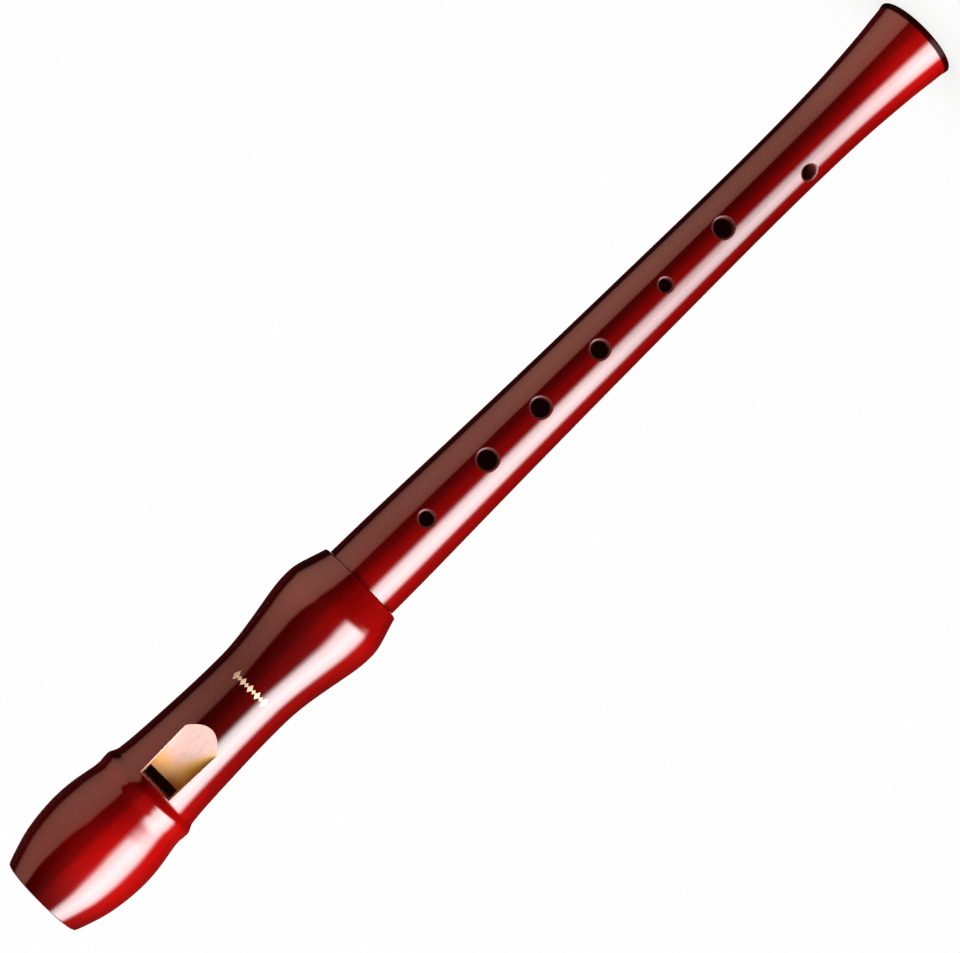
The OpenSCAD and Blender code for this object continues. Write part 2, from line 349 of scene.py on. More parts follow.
def add_hole(shape, hole, window, heights, outer, inner):
    """Patches in both skins, a rounded lip and the wall between them."""
    hole_z, diameter, azimuth = hole
    radius = diameter / 2
    azimuth = math.radians(azimuth)
    out_x, out_y = direction(azimuth)
    col0, col1, row0, row1 = window
    border = ([(row0, c) for c in range(col0, col1)] + [(i, col1) for i in range(row0, row1)]
              + [(row1, c) for c in range(col1, col0, -1)]
              + [(i, col0) for i in range(row1, row0, -1)])
    count = len(border)

    def point(across, out, rise):
        return (out * out_x + across * out_y, out * out_y - across * out_x, hole_z + rise)

    def skin(radius_at, across, rise):
        """How far out a round skin lies, beside and above the hole's axis."""
        size = float(radius_at(hole_z + rise))
        return math.sqrt(size * size - across * across)

    def flat_border(radius_at):
        flat = []
        for i, c in border:
            angle = (c * COL_STEP - math.pi) - azimuth
            angle = (angle + math.pi) % (2 * math.pi) - math.pi
            flat.append((float(radius_at(heights[i])) * math.sin(angle), heights[i] - hole_z))
        return flat

    # angles of the round edge's points: mostly even, partly following the border
    outer_border = flat_border(body_radius)
    squeeze = (col1 - col0) * COL_STEP * 10.0 / (heights[row1] - heights[row0])
    follow = np.unwrap([math.atan2(rise * squeeze, across) for across, rise in outer_border])
    even = follow[0] + np.arange(count) * (2 * math.pi / count) * np.sign(follow[-1] - follow[0])
    theta = 0.35 * follow + 0.65 * (even + np.mean(follow - even))
    circle = list(zip(np.cos(theta), np.sin(theta)))

    def patch(rows, flat, rim_radius, radius_at, slot, steps):
        """Fills from the rectangle's border to a circle, and returns the circle."""
        loop = [rows[i][c % COLS] for i, c in border]
        for k in range(1, steps + 1):
            t = k / steps
            t = t * (1.6 - 0.6 * t)
            points = []
            for (across, rise), (cos, sin) in zip(flat, circle):
                across = across * (1 - t) + rim_radius * cos * t
                rise = rise * (1 - t) + rim_radius * sin * t
                points.append(point(across, skin(radius_at, across, rise), rise))
            following = shape.add(points)
            shape.join(loop, following, slot)
            loop = following
        return loop

    rim = patch(outer, outer_border, radius + HOLE_LIP, body_radius, BODY_SKIN, steps=7)
    # a shallow bevel that rolls over into the wall
    for share, depth, slot in LIP_STEPS:
        size = radius + HOLE_LIP * share
        following = shape.add([
            point(size * cos, skin(body_radius, size * cos, size * sin) - depth, size * sin)
            for cos, sin in circle])
        shape.join(rim, following, slot)
        rim = following

    edge = [(radius * cos, radius * sin) for cos, sin in circle]
    top = [skin(body_radius, across, rise) - HOLE_LIP for across, rise in edge]
    low = [skin(bore_radius, across, rise) + HOLE_FOOT for across, rise in edge]
    wall_rows = 8
    for k in range(1, wall_rows + 1):
        t = k / wall_rows
        following = shape.add([point(across, high * (1 - t) + deep * t, rise)
                               for (across, rise), high, deep in zip(edge, top, low)])
        shape.join(rim, following, BODY_BORE)
        rim = following
    foot = patch(inner, flat_border(bore_radius), radius + HOLE_FOOT, bore_radius,
                 BODY_BORE, steps=4)
    shape.join(rim, foot, BODY_BORE)


def add_bell_end(shape, outer_ring, bore_ring):
    """Rounded edge, end face and bore chamfer."""
    flat_r = BELL_D / 2 - BELL_ROUND
    profile = [(flat_r + BELL_ROUND * math.sin(a), BELL_ROUND - BELL_ROUND * math.cos(a))
               for a in np.radians([82, 74, 66, 58, 50, 42, 34, 26, 18, 10, 0])]
    profile += [(10.4, 0), (9.0, 0), (7.6, 0), (6.35, 0)]
    loop = shape.sweep(outer_ring, profile, BODY_SKIN)
    loop = shape.sweep(loop, [(6.1, 0.05), (5.95, 0.18), (5.3, 0.6), (5.21, 0.66)], BODY_BORE)
    shape.join(loop, bore_ring, BODY_BORE)


def add_tenon(shape, outer_ring, bore_ring):
    """Shoulder, tenon with its cork groove, tenon end and the bore back to the shoulder."""
    low, high = CORK_Z0 - GROOVE_PLAY, CORK_Z1 + GROOVE_PLAY
    loop = shape.sweep(outer_ring, [
        (float(body_radius(SHOULDER)) - 0.12, SHOULDER), (10.6, SHOULDER),
        (TENON_R + 0.15, SHOULDER)], BODY_SKIN)
    profile = [(TENON_R, SHOULDER + 0.15), (TENON_R, low - 1.2), (TENON_R, low - 0.08),
               (TENON_R - 0.08, low), (GROOVE_R + 0.05, low), (GROOVE_R, low + 0.05)]
    profile += [(GROOVE_R, low + (high - low) * k / 12) for k in range(1, 12)]
    profile += [(GROOVE_R, high - 0.05), (GROOVE_R + 0.05, high), (TENON_R - 0.08, high),
                (TENON_R, high + 0.08), (TENON_R, TENON_TOP - 1.6), (TENON_R, TENON_TOP - 0.6)]
    end_round = 0.5
    profile += [(TENON_R - end_round + end_round * math.cos(a),
                 TENON_TOP - end_round + end_round * math.sin(a))
                for a in np.radians([15, 35, 55, 75, 90])]
    mouth_round = 0.25
    mouth_r = BODY_BORE_TOP_R + mouth_round
    profile += [(8.0, TENON_TOP), (mouth_r, TENON_TOP)]
    profile += [(mouth_r - mouth_round * math.sin(a),
                 TENON_TOP - mouth_round * (1 - math.cos(a)))
                for a in np.radians([20, 45, 70, 90])]
    profile += [(float(bore_radius(z)), z)
                for z in np.linspace(TENON_TOP - 0.8, SHOULDER + 0.8, 16)]
    loop = shape.sweep(loop, profile, BODY_BORE)
    shape.join(loop, bore_ring, BODY_BORE)


def build_body(mats):
    fine_margin = 2.1
    spans = [(z - dia / 2 - fine_margin, z + dia / 2 + fine_margin) for z, dia, _ in HOLES]
    heights = row_heights([BELL_ROUND, 0.9, 1.4, 2.2, 3, 30, SHOULDER - 0.5, SHOULDER],
                          step=1.25, fine=spans, fine_step=0.5)
    windows = [hole_window(hole, heights) for hole in HOLES]

    def in_window(row, col):
        return any(row0 <= row < row1 and (col - col0) % COLS < col1 - col0
                   for col0, col1, row0, row1 in windows)

    shape = Shape(COLS, start=-math.pi)
    outer = [shape.ring(float(body_radius(z)), z) for z in heights]
    inner = [shape.ring(float(bore_radius(z)), z) for z in heights]
    for i in range(len(heights) - 1):
        for rows, slot in ((outer, BODY_SKIN), (inner, BODY_BORE)):
            shape.join(rows[i], rows[i + 1], slot, skip=lambda j: in_window(i, j))
    add_bell_end(shape, outer[0], inner[0])
    add_tenon(shape, outer[-1], inner[-1])
    for hole, window in zip(HOLES, windows):
        add_hole(shape, hole, window, heights, outer, inner)
    return smooth(shape.build_closed("body_tube", mats), 38)


# ---------------------------------------------------------------- the head's outer form
def round_max(first, second, radius):
    """Larger of two distances, with a rounded edge between them."""
    return (np.minimum(-radius, np.maximum(first, second))
            + np.sqrt(np.maximum(first + radius, 0) ** 2 + np.maximum(second + radius, 0) ** 2))


def head_field(points):
    """Distance outside the head's skin, negative inside."""
    x, y, z = points[..., 0], points[..., 1], points[..., 2]
    turned_z = np.clip(z, SHOULDER, TOTAL + 2)
    slope = (head_radius(turned_z + 0.01) - head_radius(turned_z - 0.01)) / 0.02
    turned = (np.hypot(x, y) - head_radius(turned_z)) / np.sqrt(1 + slope * slope)
    hollow = HOLLOW_R - np.hypot(y - HOLLOW_Y, z - HOLLOW_Z)
    beak = round_max(turned, hollow, 0.8)
    beak = round_max(beak, z - TOTAL, 0.35)
    return np.maximum(beak, RIM_Z - z)


def head_normal(points):
    grad = np.empty(points.shape)
    for k in range(3):
        nudge = np.zeros(3)
        nudge[k] = 0.004
        grad[..., k] = head_field(points + nudge) - head_field(points - nudge)
    return grad / np.maximum(np.linalg.norm(grad, axis=-1, keepdims=True), 1e-9)


def meet_skin(origin, ray):
    """Where rays from inside the head meet its skin, by halving."""
    low = np.zeros(ray.shape[:-1])
    high = np.full(ray.shape[:-1], 30.0)
    for _ in range(44):
        middle = (low + high) / 2
        outside = head_field(origin + ray * middle[..., None]) > 0
        high = np.where(outside, middle, high)
        low = np.where(outside, low, middle)
    return origin + ray * ((low + high) / 2)[..., None]


def head_rows():
    """Rows of points on the skin, from the rim up and over the tip, and the last point."""
    top_z = TOTAL - 2.4
    heights = row_heights(
        [RIM_Z, 212.2, 212.5, 213, 220, 232, 286, 289, 293, HOLLOW_START_Z, 322, top_z],
        step=0.9, fine=[(RIM_Z, 213), (286, 293)], fine_step=0.25)
    sx, sy = round_directions(HEAD_COLS)

    def origin(z):
        # rays start on the axis, and shift towards the beak's front above the hollow's start
        t = np.clip((z - HOLLOW_START_Z) / (top_z - HOLLOW_START_Z), 0, 1)
        return np.array([0, -6.35 * t * t * (3 - 2 * t), z])

    rows = [meet_skin(origin(z), np.stack([sx, sy, np.zeros_like(sx)], -1)) for z in heights]
    top = origin(top_z)
    for tilt in np.radians([4, 7, 9.5, 11.5, 13, 14.5, 16, 17.5, 19, 21, 24, 28, 34, 42, 52,
                            64, 77]):
        ray = np.stack([sx * math.cos(tilt), sy * math.cos(tilt),
                        np.full_like(sx, math.sin(tilt))], -1)
        rows.append(meet_skin(top, ray))
    return rows, meet_skin(top, np.array([[0.0, 0.0, 1.0]]))[0]


def head_solid(name, mats):
    """The head's outer form, solid, with a flat underside at the rim."""
    rows, apex = head_rows()
    shape = Shape(HEAD_COLS)
    loops = [shape.add(map(tuple, row)) for row in rows]
    for low, high in zip(loops[:-1], loops[1:]):
        shape.join(low, high)
    shape.join(loops[-1], shape.add([tuple(apex)]) * HEAD_COLS)
    shape.sweep(loops[0], [(12.2, RIM_Z), (9.0, RIM_Z), (4.0, RIM_Z), (0, RIM_Z)])
    return shape.build_closed(name, mats)


# ---------------------------------------------------------------- the head joint
HEAD_SKIN, HEAD_RAW, HEAD_BORE = 0, 1, 2     # material slots


def bore_cutter(mats):
    """Socket with a small mouth chamfer, a step, then the head's bore."""
    shape = Shape(CUTTER_COLS)
    step_z = TENON_TOP + 0.4
    shape.sweep(shape.ring(0, 200), [
        (SOCKET_R + 0.4, 200), (SOCKET_R + 0.4, SHOULDER), (SOCKET_R, SHOULDER + 0.42),
        (SOCKET_R, 218), (SOCKET_R, 226), (SOCKET_R, TENON_TOP + 0.15),
        (SOCKET_R - 0.25, step_z), (HEAD_BORE_R + 0.3, step_z), (HEAD_BORE_R, TENON_TOP + 0.7),
        (HEAD_BORE_R, 245), (HEAD_BORE_R, 265), (HEAD_BORE_R, 290), (HEAD_BORE_R, 310),
        (HEAD_BORE_R, TOTAL + 4), (0, TOTAL + 4)], HEAD_BORE)
    return shape.build_closed("cut_bore", mats)


def underside_cutter(mats):
    """A box that leaves a flat underside below the sharp edge."""
    shape = Shape()
    for z in (EDGE_Z - 17, WINDOW_Z):
        shape.add([(-WINDOW_HALF, 0, z), (WINDOW_HALF, 0, z),
                   (WINDOW_HALF, -EDGE_R, z), (-WINDOW_HALF, -EDGE_R, z)])
    for ids in ((0, 1, 2, 3), (4, 7, 6, 5), (0, 4, 5, 1), (1, 5, 6, 2), (2, 6, 7, 3),
                (3, 7, 4, 0)):
        shape.face(ids, HEAD_BORE)
    return shape.build_closed("cut_under", mats)


def side_cutter(name, outline, half_width, mats, slot):
    """A solid with a (y, z) outline, reaching half_width(y, z) to either side in x."""
    shape = Shape()
    left = shape.add([(-half_width(y, z), y, z) for y, z in outline])
    right = shape.add([(half_width(y, z), y, z) for y, z in outline])
    shape.face(left, slot)
    shape.face(reversed(right), slot)
    shape.join(left, right, slot)
    return shape.build_closed(name, mats)


def window_cutter(mats):
    """The opening and the ramp; the side walls lean out and part towards the ramp's end."""
    side_gap, side_lean = 0.02, 0.08
    spread, spread_length = 0.6, 21

    def half_width(y, z):
        return WINDOW_HALF + side_gap + max(
            0.0, (-y - EDGE_R) * side_lean + (WINDOW_Z - z) * spread / spread_length)

    overlap = 0.8               # reach into the bore
    run_out, run_out_slope = 4, 0.27
    outside_y = -20.0
    end_z = EDGE_Z - (RAMP_LENGTH + run_out)
    outline = [(-EDGE_R + overlap, EDGE_Z), (-EDGE_R, EDGE_Z)]
    outline += [(-ramp_depth(below), EDGE_Z - below)
                for below in (1, *np.arange(2, RAMP_LENGTH + 0.5, 1.5))]
    outline += [(-ramp_depth(RAMP_LENGTH) - run_out * run_out_slope, end_z),
                (outside_y, end_z), (outside_y, WINDOW_Z + 0.4), (-ROOF_R, WINDOW_Z),
                (-EDGE_R, WINDOW_Z), (-EDGE_R + overlap, WINDOW_Z)]
    return side_cutter("cut_window", outline, half_width, mats, HEAD_RAW)


def windway_cutter(mats):
    start_z, end_z = WINDOW_Z - 0.01, TOTAL + 1
    outline = [(0, start_z), (-ROOF_R, start_z), (-ROOF_TIP_R, end_z), (0, end_z)]
    return side_cutter("cut_windway", outline, lambda y, z: WINDOW_HALF, mats, HEAD_BORE)


def fetch(items, field, kind=float, width=1):
    """One property of all the items, as an array."""
    values = np.empty(len(items) * width, kind)
    items.foreach_get(field, values)
    return values.reshape(-1, width) if width > 1 else values


def set_head_normals(ob):
    """Exact normals on the turned skin, the ramp and the round walls of the bore."""
    mesh = ob.data
    mesh.shade_smooth()
    corner_vert = fetch(mesh.loops, "vertex_index", np.int32)
    points = fetch(mesh.vertices, "co", width=3)[corner_vert] / MM
    owner = np.repeat(np.arange(len(mesh.polygons)),
                      fetch(mesh.polygons, "loop_total", np.int32))
    slot = fetch(mesh.polygons, "material_index", np.int32)[owner]
    face = fetch(mesh.polygons, "normal", width=3)[owner]
    normals = face.copy()

    skin = (slot == HEAD_SKIN) & ~(face[:, 2] < -0.99)
    normals[skin] = head_normal(points[skin])

    ramp = ((slot == HEAD_RAW) & (abs(face[:, 0]) < 0.05) & (face[:, 2] > 0.1)
            & (face[:, 1] < -0.5))
    slope = RAMP_SLOPE - 2 * RAMP_EASE * (EDGE_Z - points[ramp, 2])
    length = np.sqrt(1 + slope * slope)
    normals[ramp] = np.stack([0 * slope, -1 / length, slope / length], -1)

    # round walls look towards the axis; the flats of the windway and underside stay flat
    flat = (abs(face[:, 0]) > 0.9999) | (abs(face[:, 2]) > 0.3)
    radius = np.hypot(points[:, 0], points[:, 1])
    wall = (slot == HEAD_BORE) & ~flat & ((abs(radius - HEAD_BORE_R) < 0.02)
                                          | (abs(radius - SOCKET_R) < 0.02))
    normals[wall] = np.stack([-points[wall, 0] / radius[wall], -points[wall, 1] / radius[wall],
                              np.zeros(wall.sum())], -1)
    mesh.normals_split_custom_set([tuple(normal) for normal in normals])


def build_head(mats):
    ob = head_solid("head_tube", mats)
    for cutter in (bore_cutter, underside_cutter, window_cutter, windway_cutter):
        boolean(ob, cutter(mats))
    clean(ob)
    set_head_normals(ob)
    return ob


# ---------------------------------------------------------------- the block
def plug_solid(mats):
    """A round plug with a raised flat platform on its -Y side, bevelled at the lower end."""
    half = WINDOW_HALF - 0.03
    corner = 0.08
    flat = half - corner
    start = math.atan2(half, math.sqrt(BLOCK_R**2 - half * half))
    # an arc round the back, then up the platform's sides to its flat floor
    outline = [(-BLOCK_R * math.sin(t), -BLOCK_R * math.cos(t))
               for t in np.linspace(start, 2 * math.pi - start, 96)]
    outline += [(half, -FLOOR_R + corner), (flat, -FLOOR_R)]
    outline += [(flat - 2 * flat * k / 12, -FLOOR_R) for k in range(1, 12)]
    outline += [(-flat, -FLOOR_R), (-half, -FLOOR_R + corner)]

    bevel = 0.25
    # height, inset
    levels = [(WINDOW_Z, bevel), (WINDOW_Z + bevel, 0.0)]
    levels += [(z, 0.0) for z in np.linspace(WINDOW_Z + 4, TOTAL + 2, 12)]
    shape = Shape()
    loops = []
    for z, inset in levels:
        shrink = 1 - inset / BLOCK_R
        loops.append(shape.add([(x * shrink, y * shrink, z) for x, y in outline]))
    for low, high in zip(loops[:-1], loops[1:]):
        shape.join(low, high)
    shape.face(loops[0])
    shape.face(reversed(loops[-1]))
    return shape.build_closed("cut_plug", mats)


def build_block(mats):
    """The cedar plug, ended by the head's outer form."""
    ob = head_solid("block_plug", mats)
    boolean(ob, plug_solid(mats), "INTERSECT")
    clean(ob)
    return smooth(ob, 25)


# ---------------------------------------------------------------- cork ring
def build_cork(mats):
    inner_r = GROOVE_R + 0.02
    chamfer, edge = 0.1, 0.5
    round_r = CORK_R - edge
    profile = [(inner_r, CORK_Z0 + chamfer), (inner_r + chamfer, CORK_Z0),
               (round_r - 0.05, CORK_Z0)]
    profile += [(round_r + edge * math.sin(a), CORK_Z0 + edge - edge * math.cos(a))
                for a in np.radians([20, 40, 60, 80])]
    profile += [(CORK_R, CORK_Z0 + 0.6 + (CORK_Z1 - CORK_Z0 - 1.2) * k / 14) for k in range(15)]
    profile += [(round_r + edge * math.cos(a), CORK_Z1 - edge + edge * math.sin(a))
                for a in np.radians([10, 30, 50, 70])]
    profile += [(round_r - 0.05, CORK_Z1), (inner_r + chamfer, CORK_Z1),
                (inner_r, CORK_Z1 - chamfer)]
    shape = Shape(COLS)
    first = shape.ring(*profile[0])
    shape.join(shape.sweep(first, profile[1:]), first)
    return smooth(shape.build_closed("tenon_cork_ring", mats), 40)


# ---------------------------------------------------------------- gilt ornament
def add_gilt_shape(shape, corners, columns, rows):
    """A four-cornered (across, height) shape as a fine grid bent to the head's skin."""
    a, b, c, d = [np.array(corner, float) for corner in corners]
    lift, crown, sunk = 0.025, 0.02, 0.03
    top, low = [], []
    for i in range(columns + 1):
        for j in range(rows + 1):
            u, v = i / columns, j / rows
            across, z = (a * (1 - u) + b * u) * (1 - v) + (d * (1 - u) + c * u) * v
            radius = float(head_radius(z))
            nx, ny = math.sin(across / radius), -math.cos(across / radius)
            high = radius + lift + (0.0 if i in (0, columns) or j in (0, rows) else crown)
            top.append((nx * high, ny * high, z))
            low.append((nx * (radius - sunk), ny * (radius - sunk), z))
    top, low = shape.add(top), shape.add(low)
    width = rows + 1
    for i in range(columns):
        for j in range(rows):
            cell = (i * width + j, (i + 1) * width + j, (i + 1) * width + j + 1,
                    i * width + j + 1)
            shape.face([top[k] for k in cell])
            shape.face([low[k] for k in reversed(cell)])
    border = ([i * width for i in range(columns)] + [columns * width + j for j in range(rows)]
              + [i * width + rows for i in range(columns, 0, -1)]
              + list(range(rows, 0, -1)))
    for k, following in zip(border, border[1:] + border[:1]):
        shape.face((top[k], low[k], low[following], top[following]))


def build_gilt(mats):
    """A row of large and small lozenges on a thin rule, round the front of the head."""
    row_z, first_x, pitch = 252.4, -4.55, 1.31
    end, small, large = (1.55, 0.95), (0.75, 0.55), (1.25, 0.8)    # half height, half width
    shape = Shape()
    for k, (tall, wide) in enumerate([end] + [small, large] * 3 + [small, end]):
        x = first_x + k * pitch
        add_gilt_shape(shape, [(x - wide, row_z), (x, row_z - tall), (x + wide, row_z),
                               (x, row_z + tall)], columns=6, rows=6)
    left, right, low, high = -4.9, 6.2, row_z - 0.14, row_z + 0.14
    add_gilt_shape(shape, [(left, low), (right, low), (right, high), (left, high)],
                   columns=28, rows=3)
    ob = shape.build("gilt_ornament", mats)
    with editing(ob) as bm:
        bmesh.ops.recalc_face_normals(bm, faces=bm.faces)
    return smooth(ob, 50)


# ---------------------------------------------------------------- shader nodes
class Nodes:
    """Writes the node tree of a material or a world; inputs are numbers, tuples or sockets."""

    def __init__(self, owner):
        self.owner = owner
        owner.use_nodes = True
        self.tree = owner.node_tree
        self.tree.nodes.clear()

    def node(self, kind, **settings):
        node = self.tree.nodes.new(kind)
        for key, value in settings.items():
            setattr(node, key, value)
        return node

    def put(self, socket, value):
        if isinstance(value, (int, float)):
            socket.default_value = value
        elif isinstance(value, tuple):
            socket.default_value = (*value, 1) if socket.type == "RGBA" else value
        else:
            self.tree.links.new(value, socket)

    def fill(self, node, **inputs):
        """Sets inputs by name, with _ for each space."""
        for key, value in inputs.items():
            self.put(node.inputs[key.replace("_", " ")], value)
        return node

    # coordinates
    def place(self):
        return self.node("ShaderNodeTexCoord").outputs["Object"]

    def xyz(self, vector):
        return tuple(self.fill(self.node("ShaderNodeSeparateXYZ"), Vector=vector).outputs)

    def coords(self, y=1, z=1):
        """Object coordinates, scaled along y or z; below 1 draws a pattern out."""
        vector = self.place()
        return self.fill(self.node("ShaderNodeMapping"), Scale=(1, y, z),
                         Vector=vector).outputs["Vector"]

    def radians_round(self, x, y):
        """Azimuth from -Y towards -X."""
        return self.math("ARCTAN2", self.mul(x, -1.0), self.mul(y, -1.0))

    def azimuth(self, x, y):
        return self.mul(self.radians_round(x, y), 180 / math.pi)

    def elevation(self, z):
        return self.mul(self.math("ARCSINE", z), 180 / math.pi)

    # arithmetic
    def math(self, operation, *values):
        node = self.node("ShaderNodeMath", operation=operation)
        for socket, value in zip(node.inputs, values):
            self.put(socket, value)
        return node.outputs[0]

    def mul(self, first, second):
        return self.math("MULTIPLY", first, second)

    def add(self, first, second):
        return self.math("ADD", first, second)

    def sub(self, first, second):
        return self.math("SUBTRACT", first, second)

    def above(self, value, floor):
        """How far the value is above the floor, or 0."""
        return self.math("MAXIMUM", self.sub(value, floor), 0.0)

    def dim(self, value, share):
        """1 less a share of the value."""
        return self.sub(1.0, self.mul(value, share))

    def weigh(self, first, share, second, other_share):
        return self.add(self.mul(first, share), self.mul(second, other_share))

    def ease(self, value, start, end):
        """Smooth rise from 0 at start to 1 at end."""
        node = self.node("ShaderNodeMapRange", interpolation_type="SMOOTHSTEP")
        return self.fill(node, From_Min=start, From_Max=end, Value=value).outputs[0]

    def between(self, value, rise, fall):
        """Product of two eases, each given as (where it is 0, where it is 1)."""
        return self.mul(self.ease(value, *rise), self.ease(value, *fall))

    def vector(self, operation, *vectors, **inputs):
        node = self.fill(self.node("ShaderNodeVectorMath", operation=operation), **inputs)
        for socket, value in zip(node.inputs, vectors):
            self.put(socket, value)
        return node.outputs["Value" if operation == "LENGTH" else "Vector"]

    # patterns and colours
    def noise(self, vector, scale, detail, rough, distort=0.0):
        return self.fill(self.node("ShaderNodeTexNoise"), Scale=scale, Detail=detail,
                         Roughness=rough, Distortion=distort, Vector=vector).outputs["Fac"]

    def ramp(self, value, stops):
        """Colour ramp through (position, colour) stops; a single number is a grey."""
        node = self.node("ShaderNodeValToRGB")
        elements = node.color_ramp.elements
        while len(elements) < len(stops):
            elements.new(0.5)
        for element, (position, color) in zip(elements, stops):
            element.position = position
            element.color = (*(color if isinstance(color, tuple) else (color,) * 3), 1)
        return self.fill(node, Fac=value).outputs["Color"]

    def mix(self, share, first, second):
        node = self.node("ShaderNodeMix", data_type="RGBA")
        for index, value in ((0, share), (6, first), (7, second)):
            self.put(node.inputs[index], value)
        return node.outputs[2]

    def bump(self, height, distance, strength):
        return self.fill(self.node("ShaderNodeBump"), Strength=strength, Distance=distance,
                         Height=height).outputs["Normal"]

    # shaders
    def shader(self, kind, **inputs):
        return self.fill(self.node(kind), **inputs).outputs[0]

    def mix_shader(self, share, first, second):
        node = self.node("ShaderNodeMixShader")
        for socket, value in zip(node.inputs, (share, first, second)):
            self.put(socket, value)
        return node.outputs[0]

    def output(self, shader, kind="ShaderNodeOutputMaterial"):
        self.fill(self.node(kind), Surface=shader)
        return self.owner

    def surface(self, color, rough, **inputs):
        return self.output(self.shader("ShaderNodeBsdfPrincipled", Base_Color=color,
                                       Roughness=rough, **inputs))


def new_material(name):
    return Nodes(bpy.data.materials.new(name))


# ---------------------------------------------------------------- lacquer
BLACK = (0.0, 0.0, 0.0)
LEVEL_HEIGHT = 330              # mm of height that the tables below are spread over
TONE_TOP = 2.2                 # the tone tables are divided by this to fit a ramp

# Colour strength by height (mm, strength), darker round the neck and waist and lighter at the
# bell and beak: at the sides, and facing -Y, where painted shade darkens the front below the
# sides and painted light lifts it above them in places
SIDE_TONE = [
    (0, 1.38), (10, 1.38), (17, 1.17), (27, 0.88), (40, 0.75), (67, 0.57), (93, 0.65),
    (114, 0.70), (156, 0.78), (198, 0.90), (211.5, 1.0), (213, 0.98), (224, 1.18), (233, 0.89),
    (240, 0.77), (250, 0.80), (266, 0.78), (277, 0.92), (286, 1.2), (292, 1.5), (298, 1.62),
    (306, 1.46), (314, 1.44), (322, 1.12), (329, 0.7)]
FRONT_TONE_AND_SHADE = [
    (0, 1.36), (10, 1.36), (17, 1.25), (27, 0.85), (40, 0.72), (67, 0.56), (93, 0.67),
    (114, 0.64), (156, 0.70), (198, 0.86), (211.5, 1.10), (213, 0.87), (224, 0.94), (233, 0.62),
    (240, 0.50), (250, 0.46), (264, 0.34), (277, 0.33), (286, 0.68), (292, 1.20), (298, 1.35),
    (306, 1.75), (314, 1.55), (321, 1.02), (326, 0.60), (329, 0.42)]
# Weight of the clear coat by height (mm, weight): all round, and on the +X side
COAT = [
    (0, 0.97), (10, 0.96), (17, 0.82), (27, 0.77), (40, 0.73), (67, 0.78), (93, 0.70),
    (114, 0.74), (135, 0.88), (156, 0.88), (180, 0.94), (211.5, 0.96), (213, 1.0)]
FLANK_COAT = [
    (0, 1.0), (18, 0.98), (29, 1.0), (42, 0.84), (68, 0.86), (94, 0.91), (115, 0.94),
    (136, 0.96), (157, 0.88), (181, 0.86), (199, 0.79), (210, 0.84), (220, 0.95), (226, 0.97),
    (233, 0.76), (241, 0.64), (249, 0.54), (262, 0.62), (277, 0.74), (292, 0.75), (299, 0.80),
    (306, 0.78), (314, 0.70), (328, 0.68)]


def by_height(mat, z, levels, top=1):
    return mat.ramp(mat.math("DIVIDE", z, LEVEL_HEIGHT / 1000),
                    [(height / LEVEL_HEIGHT, value / top) for height, value in levels])


def tone_and_painted_shade(mat, x, y, z, azimuth):
    """Strength of the colour over the whole instrument, with painted light and shade on the
    front, a painted dark streak beside it and painted shade round the -X side.
    """
    sides, front = (mat.mul(by_height(mat, z, levels, TONE_TOP), TONE_TOP)
                    for levels in (SIDE_TONE, FRONT_TONE_AND_SHADE))
    turn = mat.math("ABSOLUTE", mat.radians_round(x, y))
    to_side = mat.ease(turn, start=math.radians(12), end=math.radians(42))
    tone = mat.mix(to_side, front, sides)
    # painted shade: a dark streak just to the +X side of the front, a little deeper above the
    # window
    shade_streak = mat.between(azimuth, rise=(2.0, -10.0), fall=(-46.0, -26.0))
    deep = mat.add(0.38, mat.mul(mat.ease(z, start=0.2835, end=0.2895), 0.08))
    tone = mat.mix(mat.mul(shade_streak, deep), tone, BLACK)
    # and a soft painted shade round the -X side
    shade = mat.between(azimuth, rise=(50.0, 66.0), fall=(170.0, 100.0))
    return mat.mix(mat.mul(shade, 0.26), tone, BLACK)


def lacquer():
    """Deep red lacquer over turned wood: grain runs along the bore under a clear coat."""
    mat = new_material("red_lacquer")
    x, y, z = mat.xyz(mat.place())
    grain = mat.noise(mat.coords(z=0.035), scale=900, detail=5, rough=0.6, distort=0.3)
    fine = mat.noise(mat.coords(z=0.02), scale=3600, detail=3, rough=0.6)
    cloud = mat.noise(mat.coords(z=0.35), scale=55, detail=3, rough=0.5)
    base = mat.ramp(grain, [(0.25, (0.176, 0.0006, 0.0004)), (0.5, (0.231, 0.0012, 0.0008)),
                            (0.75, (0.282, 0.0022, 0.0014))])
    fine_color = mat.ramp(fine, [(0.3, (0.165, 0.0006, 0.0004)), (0.7, (0.297, 0.0022, 0.0016))])
    base = mat.mix(0.35, base, fine_color)
    base = mat.mix(mat.mul(cloud, 0.3), base, (0.187, 0.0006, 0.0006))

    azimuth = mat.azimuth(x, y)
    # colour strength by height, with painted light and shade on the front and sides
    tone = tone_and_painted_shade(mat, x, y, z, azimuth)
    # the bell's edge turns almost black and loses its coat
    rim = mat.ease(z, start=0.00215, end=0.00165)
    color = mat.vector("SCALE", base, Scale=mat.mul(tone, mat.dim(rim, share=0.93)))

    flank = mat.between(azimuth, rise=(0.0, -16.0), fall=(-165.0, -115.0))
    film = mat.mix(flank, by_height(mat, z, COAT), by_height(mat, z, FLANK_COAT))
    film = mat.mul(film, mat.dim(rim, share=0.95))
    wave = mat.noise(mat.coords(z=0.25), scale=140, detail=2, rough=0.5)
    return mat.surface(
        color, rough=0.6, Specular_IOR_Level=0.0, Coat_Weight=film, Coat_IOR=1.9,
        Coat_Roughness=mat.add(mat.mul(cloud, 0.04), 0.085),
        Normal=mat.bump(mat.weigh(grain, 0.6, fine, 0.4), distance=0.00002, strength=0.35),
        Coat_Normal=mat.bump(wave, distance=0.00006, strength=0.25))


